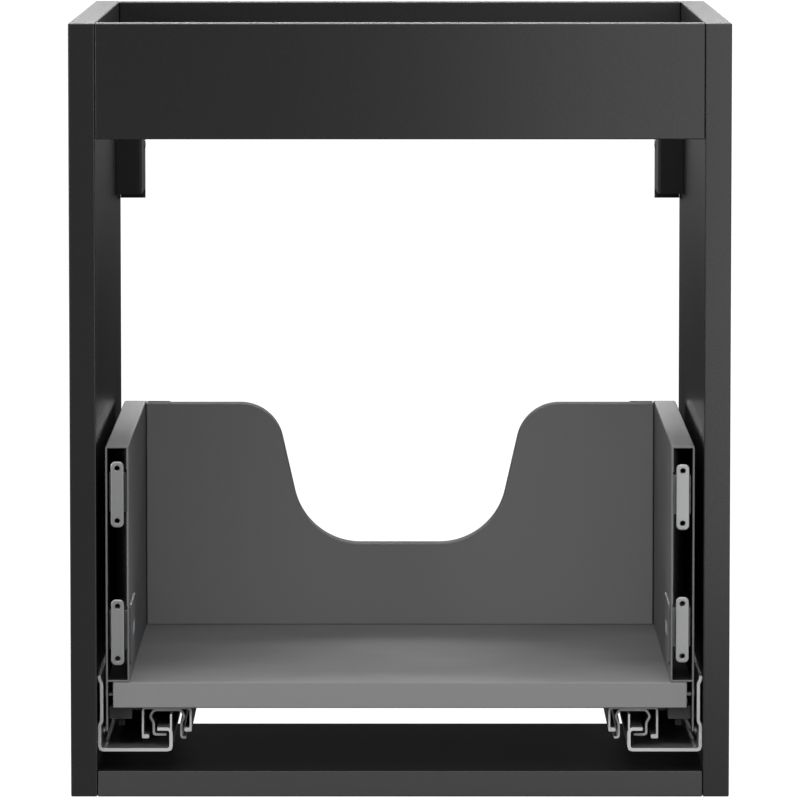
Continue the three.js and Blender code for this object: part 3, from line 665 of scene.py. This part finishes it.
def stamped_plate(width, height, corner, thickness, holes):
    """A plate facing -Y, centred on X = Z = 0 with its front at Y = 0; holes as (z, radius)."""
    plate = bmesh.new()
    bmesh.ops.create_grid(plate, x_segments=1, y_segments=1, size=0.5)
    bmesh.ops.scale(plate, vec=(width, height, 1), verts=plate.verts)
    round_off(plate, plate.verts[:], corner, 8, affect="VERTICES")
    bmesh.ops.delete(plate, geom=plate.faces[:], context="FACES_ONLY")
    for z, radius in holes:
        bmesh.ops.create_circle(plate, segments=32, radius=radius,
                                matrix=Matrix.Translation((0, z, 0)))
    bmesh.ops.triangle_fill(plate, use_beauty=True, edges=plate.edges[:])
    bmesh.ops.rotate(plate, cent=(0, 0, 0), matrix=Matrix.Rotation(math.radians(90), 3, "X"),
                     verts=plate.verts)
    grown = bmesh.ops.extrude_face_region(plate, geom=plate.faces[:], use_keep_orig=True)
    bmesh.ops.translate(plate, vec=(0, thickness, 0), verts=verts_in(grown["geom"]))
    bmesh.ops.recalc_face_normals(plate, faces=plate.faces)
    return plate


def near_hole(edge, holes):
    middle = (edge.verts[0].co + edge.verts[1].co) / 2
    return any(math.hypot(middle.x, middle.z - z) < 1.2 * radius for z, radius in holes)


print("stamped plates with holes", round(PLATE["pitch"] / MM, 1), "mm apart")

# %% Front plates
for side in SIDES:
    for place in ("upper", "lower"):
        node = f"front_plate_{place}_{side}"
        least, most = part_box(node)
        centre = (least + most) / 2
        holes = [(end * PLATE["pitch"] / 2, PLATE["hole"]) for end in (-1, 1)]
        shape = stamped_plate(PLATE["width"], most.z - least.z, PLATE["corner"],
                              PLATE["thickness"], holes)
        front = [e for e in shape.edges if max(v.co.y for v in e.verts) < WELD]
        square = edges_over(shape, SQUARE, front)
        sinks = [e for e in square if near_hole(e, holes)]
        rim = [e for e in square if not near_hole(e, holes)]
        round_off(shape, sinks, PLATE["sink"], 1)
        round_off(shape, rim, PLATE["rim"], 4)
        bmesh.ops.translate(shape, vec=(centre.x, least.y, centre.z), verts=shape.verts)
        neck_y = least.y + NECK["start"]
        add_block(shape, (centre.x - NECK["x"], neck_y, centre.z - NECK["z"]),
                  (centre.x + NECK["x"], neck_y + NECK["length"], centre.z + NECK["z"]),
                  NECK["easing"])
        add_block(shape, (least.x, least.y + NECK["length"], centre.z - FOOT["z"]),
                  (most.x, most.y, centre.z + FOOT["z"]), FOOT["easing"])
        stand_in(node, shape, "fitting_steel")
print("4 front plates,", round(PLATE["width"] / MM, 1), "mm wide")

# %% [markdown]
# ## Screws
# A screw's head is a low dome with a cross recess. The cross starts as one face, a ring of faces
# joins it to a circle, the circle's edge is drawn out and down to make the dome, and the cross is
# pushed in. The shank is drawn from the underside.

# %% Parts of a screw
# The dome, from the crown outwards: (share of the radius, share of the height dropped).
DOME = ((0.9, 0.12), (0.98, 0.35), (1.0, 0.6), (1.0, 1.0))
CROWN, RECESS_TAPER = 0.72, 0.7


def cross_head(radius, height, depth, arm=0.58, slot=0.13):
    """A domed head on Z = 0 with a cross recess; arm and slot are shares of the radius."""
    head = bmesh.new()
    reach, half = arm * radius, slot * radius
    steps = [(reach, half), (half, half), (half, reach)]
    outline = []
    for quarter in range(4):
        turn = Matrix.Rotation(quarter * math.pi / 2, 3, "Z")
        outline += [turn @ Vector((x, y, height)) for x, y in steps]
    cross = head.faces.new([head.verts.new(corner) for corner in outline])
    crown = bmesh.ops.create_circle(head, segments=36, radius=CROWN * radius,
                                    matrix=Matrix.Translation((0, 0, height)))["verts"]
    crown_edges = list({edge for vert in crown for edge in vert.link_edges})
    bmesh.ops.bridge_loops(head, edges=crown_edges + cross.edges[:])
    for share, drop in DOME:
        ring = bmesh.ops.extrude_edge_only(head, edges=crown_edges)["geom"]
        verts, crown_edges = verts_in(ring), edges_in(ring)
        now = max(math.hypot(v.co.x, v.co.y) for v in verts)
        bmesh.ops.scale(head, vec=(share * radius / now, share * radius / now, 1), verts=verts)
        for vert in verts:
            vert.co.z = height * (1 - drop)
    bmesh.ops.holes_fill(head, edges=crown_edges)
    floor_verts = verts_in(bmesh.ops.extrude_face_region(head, geom=[cross])["geom"])
    bmesh.ops.translate(head, vec=(0, 0, -depth), verts=floor_verts)
    bmesh.ops.scale(head, vec=(RECESS_TAPER, RECESS_TAPER, 1), verts=floor_verts)
    if cross.is_valid:
        bmesh.ops.delete(head, geom=[cross], context="FACES_ONLY")
    return head


def add_thread(screw, core, crest, start, end, pitch):
    """Winds a ridge round the Z axis between two heights, with its foot just inside the core."""
    steps_a_turn = 18
    foot, half_foot = 0.98 * core, 0.32
    turns = int(abs(end - start) / pitch)
    ridge = [(foot, -half_foot), (crest, 0), (foot, half_foot)]
    verts = [screw.verts.new((x, 0, start + share * pitch)) for x, share in ridge]
    wire_edges = [screw.edges.new(pair) for pair in zip(verts, verts[1:])]
    wire_edges.append(screw.edges.new((verts[-1], verts[0])))
    rise = math.copysign(pitch, end - start) / steps_a_turn
    spun = bmesh.ops.spin(screw, geom=verts + wire_edges, cent=(0, 0, 0), axis=(0, 0, 1),
                          dvec=(0, 0, rise), angle=2 * math.pi * turns,
                          steps=steps_a_turn * turns)
    bmesh.ops.holes_fill(screw, edges=edges_in(spun["geom_last"]))
    bmesh.ops.holes_fill(screw, edges=wire_edges)


def add_shank(screw, radius, length):
    """Adds a plain, slightly tapered bar below Z = 0."""
    bmesh.ops.create_cone(screw, cap_ends=True, segments=24, radius1=radius * 0.8,
                          radius2=radius, depth=length,
                          matrix=Matrix.Translation((0, 0, -length / 2)))


def turned_to(shape, place, facing):
    """Turns a shape's +Z to the given direction and puts its origin at a place."""
    turn = Vector((0, 0, 1)).rotation_difference(Vector(facing)).to_matrix()
    bmesh.ops.rotate(shape, cent=(0, 0, 0), matrix=turn, verts=shape.verts)
    bmesh.ops.translate(shape, vec=place, verts=shape.verts)
    bmesh.ops.recalc_face_normals(shape, faces=shape.faces)


print("screw parts ready")

# %% Screws of the runners, the drawer floor and the hangers
# Node, head height, recess depth, way the head faces (1 outwards), shank radius.
SHEET_SCREWS = (
    ("rail_screw_front", 1.6 * MM, 0.9 * MM, -1, 2.4 * MM),
    ("rail_screw_rear", 1.6 * MM, 0.9 * MM, -1, 2.4 * MM),
    ("floor_screw", 0.9 * MM, 0.5 * MM, 1, 1.7 * MM),
)
HANGER_SCREW = {"head": 3.6 * MM, "head_length": 3.4 * MM, "recess": 1.5 * MM, "core": 1.85 * MM,
                "crest": 2.4 * MM, "pitch": 2.5 * MM}
COLLAR = {"radius": 4.1 * MM, "length": 1.4 * MM, "middle": 0.9 * MM}
HEAD_EASE = 0.99

screw_count = 0
for side in SIDES:
    for kind, height, depth, outwards, shank in SHEET_SCREWS:
        node = f"{kind}_{side}"
        least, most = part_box(node)
        centre = (least + most) / 2
        facing = (outwards * SIGN[side], 0, 0)
        top_x = max(facing[0] * least.x, facing[0] * most.x) * facing[0]
        screw = cross_head((most.z - least.z) / 2 * HEAD_EASE, height, depth)
        add_shank(screw, shank, most.x - least.x - height)
        turned_to(screw, (top_x - facing[0] * height, centre.y, centre.z), facing)
        stand_in(node, screw, "fitting_steel")
        screw_count += 1
    for node, collar in ((f"hanger_depth_screw_{side}", True),
                         (f"hanger_height_screw_{side}", False)):
        least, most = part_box(node)
        centre = (least + most) / 2
        head_length, core = HANGER_SCREW["head_length"], HANGER_SCREW["core"]
        pitch = HANGER_SCREW["pitch"]
        length = most.y - least.y - head_length
        screw = cross_head(HANGER_SCREW["head"], head_length, HANGER_SCREW["recess"], arm=0.6)
        add_shank(screw, core, length)
        add_thread(screw, core, HANGER_SCREW["crest"], -pitch, -length, pitch)
        if collar:
            bmesh.ops.create_cone(screw, cap_ends=True, segments=32, radius1=COLLAR["radius"],
                                  radius2=COLLAR["radius"], depth=COLLAR["length"],
                                  matrix=Matrix.Translation((0, 0, COLLAR["middle"])))
        turned_to(screw, (centre.x, least.y + head_length, centre.z), (0, -1, 0))
        stand_in(node, screw, "fitting_steel")
        screw_count += 1
print(screw_count, "screws")

# %% [markdown]
# ## Cages
# The runner's steel balls sit in a bent retainer between the middle rail and the drawer's rail,
# and plastic rollers sit in a ladder-shaped cage under the middle rail. Both are built from their
# parts here, because the frame only has one plain solid for each.

# %% Sizes of the cages
# In these tables, places across the runner are gaps from the side panel's inner face, and heights
# are counted from the bottom panel's top, all in millimetres.
BALL_TRACKS = ((30.2, 34.2), (30.8, 25.5), (54.1, 34.2), (53.7, 27.2))
BALL_COUNT, BALL_RADIUS = 3, 1.65 * MM
RETAINER = ((29.6, 24), (29.6, 36.3), (54.7, 36.3), (54.7, 26))
RETAINER_SHEET, RETAINER_BEND = 0.3 * MM, 1.2 * MM
LADDER_GAPS, LADDER_HEIGHTS, RAIL_WIDTH = (36.6, 42.4), (28.2, 32.2), 0.8
ROLLER_COUNT, ROLLER_GAP = 4, 39.5
ROLLER_RADIUS, ROLLER_LENGTH, ROLLER_RIM = 3.95 * MM, 7.4 * MM, 0.5 * MM
HALF_WINDOW = 4.6 * MM


def spread(count, start, end):
    """The middles of count equal stretches between start and end."""
    step = (end - start) / count
    return [start + (i + 0.5) * step for i in range(count)]


def in_runner(side, gap, y, height):
    """A point given as in the tables above, with its own Y."""
    return (inwards(side, gap * MM), y, PANEL_TOP + height * MM)


print(len(BALL_TRACKS), "ball tracks in each runner")

# %% Ball and roller cages
for side in SIDES:
    node = f"ball_cage_{side}"
    least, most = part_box(node)
    cage = bmesh.new()
    verts = [cage.verts.new(in_runner(side, gap, least.y, height)) for gap, height in RETAINER]
    for pair in zip(verts, verts[1:]):
        cage.edges.new(pair)
    round_off(cage, verts[1:3], RETAINER_BEND, 4, affect="VERTICES")
    grown = bmesh.ops.extrude_edge_only(cage, edges=cage.edges[:])["geom"]
    bmesh.ops.translate(cage, vec=(0, most.y - least.y, 0), verts=verts_in(grown))
    bmesh.ops.recalc_face_normals(cage, faces=cage.faces)
    bmesh.ops.solidify(cage, geom=cage.faces[:], thickness=RETAINER_SHEET)
    for gap, height in BALL_TRACKS:
        for y in spread(BALL_COUNT, least.y, most.y):
            place = Matrix.Translation(in_runner(side, gap, y, height))
            bmesh.ops.create_icosphere(cage, subdivisions=3, radius=BALL_RADIUS, matrix=place)
    stand_in(node, cage, "fitting_steel")

    node = f"roller_cage_{side}"
    least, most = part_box(node)
    gap_in, gap_out = LADDER_GAPS
    bar_low, bar_high = LADDER_HEIGHTS
    places = spread(ROLLER_COUNT, least.y, most.y)
    ladder = bmesh.new()
    for gap in (gap_in, gap_out - RAIL_WIDTH):
        add_block(ladder, in_runner(side, gap, least.y, bar_low),
                  in_runner(side, gap + RAIL_WIDTH, most.y, bar_high), 0.2 * MM)
    ends = [edge for y in places for edge in (y - HALF_WINDOW, y + HALF_WINDOW)]
    ends = [least.y] + ends + [most.y]
    for start, end in zip(ends[::2], ends[1::2]):
        add_block(ladder, in_runner(side, gap_in, start, bar_low),
                  in_runner(side, gap_out, end, bar_high), 0.3 * MM)
    for y in places:
        centre = in_runner(side, ROLLER_GAP, y, (bar_low + bar_high) / 2)
        add_roller(ladder, centre, ROLLER_RADIUS, ROLLER_LENGTH, ROLLER_RIM)
    stand_in(node, ladder, "white_plastic")
print("ball and roller cages,", len(BALL_TRACKS) * BALL_COUNT, "balls on each side")

# %% [markdown]
# ## Cover caps
# A moulded cap covers the front fixing on the inner face of each drawer side. Its rim is rounded
# and its middle sinks a little. A pale oblong inlay lies level in the middle.

# %% Cover caps and inlays
CAP = {"rim": 0.6 * MM, "border": 1.4 * MM, "step": 0.3 * MM, "sink": 0.25 * MM}
# The inlay's back and front are depths under the cap's rim, so it stands up a little in the sunk
# middle.
INLAY = {"length": 27 * MM, "height": 6.5 * MM, "start": 25 * MM, "corner": 1.6 * MM,
         "back": 0.6 * MM, "front": 0.1 * MM, "easing": 0.01 * MM}


def faces_at(shape, x):
    return [f for f in shape.faces if abs(f.calc_center_median().x - x) < 1e-5]


for side in SIDES:
    node = f"cover_cap_{side}"
    least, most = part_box(node)
    inner_x = most.x if side == "left" else least.x
    cap = merged_copy(node)
    rims = [e for f in faces_at(cap, inner_x) for e in f.edges]
    round_off(cap, rims, CAP["rim"], 3)
    faces = faces_at(cap, inner_x)
    bmesh.ops.inset_region(cap, faces=faces, thickness=CAP["border"], depth=0)
    bmesh.ops.inset_region(cap, faces=faces, thickness=CAP["step"], depth=-CAP["sink"])
    stand_in(node, cap, "grey_plastic")

    inlay = bmesh.new()
    middle_z = (least.z + most.z) / 2
    start_y = least.y + INLAY["start"]
    back_x, front_x = [inner_x + SIGN[side] * INLAY[end] for end in ("back", "front")]
    add_block(inlay, (back_x, start_y, middle_z - INLAY["height"] / 2),
              (front_x, start_y + INLAY["length"], middle_z + INLAY["height"] / 2),
              INLAY["easing"], 1)
    along_x = [e for e in inlay.edges if abs(e.verts[0].co.x - e.verts[1].co.x) > 0.3 * MM]
    round_off(inlay, along_x, INLAY["corner"], 6, clamp=True)
    make_piece(f"cap_inlay_{side}", inlay, FINISHES["pale_inlay"], BODY_OF[node],
               slot="grey_plastic")
print("cover caps with an inlay", round(INLAY["length"] / MM, 1), "mm long")

# %% [markdown]
# ## Hangers
# The hanger's housing is a black moulded body whose inner wall is a lacquered steel plate. The
# screw openings at the front have raised rims.

# %% Hanger housing and its rims
HOUSING_THICKNESS, WALL_THICKNESS = 16.4 * MM, 1.7 * MM
RIM = {"width": 10.4 * MM, "corner": 5.1 * MM, "height": 0.5 * MM, "opening": 3.95 * MM,
       "easing": 0.15 * MM}


def build_housing(side):
    """One housing, its inner wall in lacquered steel, and the rims of its two screws."""
    node = f"hanger_housing_{side}"
    least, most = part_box(node)
    wall_x = inwards(side, HOUSING_THICKNESS) + SIGN[side] * WALL_THICKNESS
    housing = merged_copy(node)
    everything = housing.verts[:] + housing.edges[:] + housing.faces[:]
    bmesh.ops.bisect_plane(housing, geom=everything, plane_co=(wall_x, 0, 0),
                           plane_no=(1, 0, 0), dist=1e-7)
    ease(housing, 0.35 * MM)
    piece = stand_in(node, housing, "black_plastic")
    piece.data.materials.append(FINISHES["lacquered_steel"])
    for polygon in piece.data.polygons:
        if SIGN[side] * (wall_x - polygon.center.x) > -WELD:
            polygon.material_index = 1

    for name in ("depth", "height"):
        low_corner, high_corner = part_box(f"hanger_{name}_screw_{side}")
        middle = (low_corner + high_corner) / 2
        rim = stamped_plate(RIM["width"], RIM["width"], RIM["corner"], RIM["height"],
                            [(0, RIM["opening"])])
        ease(rim, RIM["easing"], degrees=SQUARE)
        rim_place = (middle.x, least.y - RIM["height"], middle.z)
        bmesh.ops.translate(rim, vec=rim_place, verts=rim.verts)
        make_piece(f"hanger_{name}_rim_{side}", rim, FINISHES["black_plastic"], BODY_OF[node],
                   slot="black_plastic")


print("screw rims", round(RIM["width"] / MM, 1), "mm wide")

# %% [markdown]
# A riveted pin holds the steel plate. Its outline is drawn once and spun round its own axis.

# %% Hanger rivet
# Outline from the domed head down to the closing head, as (radius, height) in millimetres.
RIVET = ((0, 0.8), (1.2, 0.76), (2.2, 0.55), (2.8, 0.25), (3.0, 0.0), (1.45, 0.0), (1.45, -2.2),
         (2.3, -2.2), (2.3, -2.9), (0, -2.9))
RIVET_LIFT = 0.15 * MM


def build_rivet(side):
    """The riveted pin, its domed head towards the middle."""
    node = f"hanger_rivet_{side}"
    least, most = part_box(node)
    centre = (least + most) / 2
    rivet = bmesh.new()
    verts = [rivet.verts.new((x * MM, 0, z * MM)) for x, z in RIVET]
    chain = [rivet.edges.new(pair) for pair in zip(verts, verts[1:])]
    bmesh.ops.spin(rivet, geom=verts + chain, cent=(0, 0, 0), axis=(0, 0, 1),
                   angle=2 * math.pi, steps=28, use_merge=True)
    bmesh.ops.remove_doubles(rivet, verts=rivet.verts, dist=1e-7)
    base_x = inwards(side, HOUSING_THICKNESS + RIVET_LIFT)
    turned_to(rivet, (base_x, centre.y, centre.z), (-SIGN[side], 0, 0))
    stand_in(node, rivet, "fitting_steel")


print("a rivet outline of", len(RIVET), "points")

# %% [markdown]
# ## Dampers
# The damper's housing has ribs along its flanks, where the moulding needs stiffness.

# %% Damper, and all of these pieces on both sides
RIB = {"count": 9, "width": 1.2 * MM, "depth": 0.35 * MM, "under": 2 * MM, "over": 3 * MM,
       "easing": 0.2 * MM}


def build_damper(side):
    """The housing, and the ribs as a piece of their own."""
    node = f"damper_housing_{side}"
    least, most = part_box(node)
    damper = merged_copy(node)
    ease(damper, 0.5 * MM, segments=3)
    stand_in(node, damper, "grey_plastic")
    ribs = bmesh.new()
    for y in spread(RIB["count"], least.y, most.y):
        for x in (least.x, most.x):
            add_block(ribs, (x - RIB["depth"], y - RIB["width"] / 2, least.z + RIB["under"]),
                      (x + RIB["depth"], y + RIB["width"] / 2, most.z - RIB["over"]),
                      RIB["easing"])
    make_piece(f"damper_ribs_{side}", ribs, FINISHES["grey_plastic"], BODY_OF[node],
               slot="grey_plastic")


for side in SIDES:
    build_housing(side)
    build_rivet(side)
    build_damper(side)
print("2 hangers, and 2 dampers with", RIB["count"], "ribs on each flank")

# %% [markdown]
# ## Screws in the back holders
# The drawer's back board is screwed through the holder's flange, so two screw heads show on each
# side when the drawer is seen from behind.

# %% Holder screws
FLANGE_GAPS = (19.7 * MM, 34.7 * MM)
HOLDER_SCREW = {"head": 3.2 * MM, "head_length": 1.5 * MM, "recess": 0.8 * MM, "shank": 1.6 * MM,
                "length": 9 * MM}

for side in SIDES:
    node = f"back_holder_{side}"
    least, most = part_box(node)
    x = inwards(side, sum(FLANGE_GAPS) / 2)
    for place, share in (("low", 0.2), ("high", 0.8)):
        screw = cross_head(HOLDER_SCREW["head"], HOLDER_SCREW["head_length"],
                           HOLDER_SCREW["recess"])
        add_shank(screw, HOLDER_SCREW["shank"], HOLDER_SCREW["length"])
        turned_to(screw, (x, most.y, least.z + share * (most.z - least.z)), (0, 1, 0))
        make_piece(f"holder_screw_{place}_{side}", screw, FINISHES["fitting_steel"],
                   BODY_OF[node], slot="fitting_steel")
print("4 holder screws")
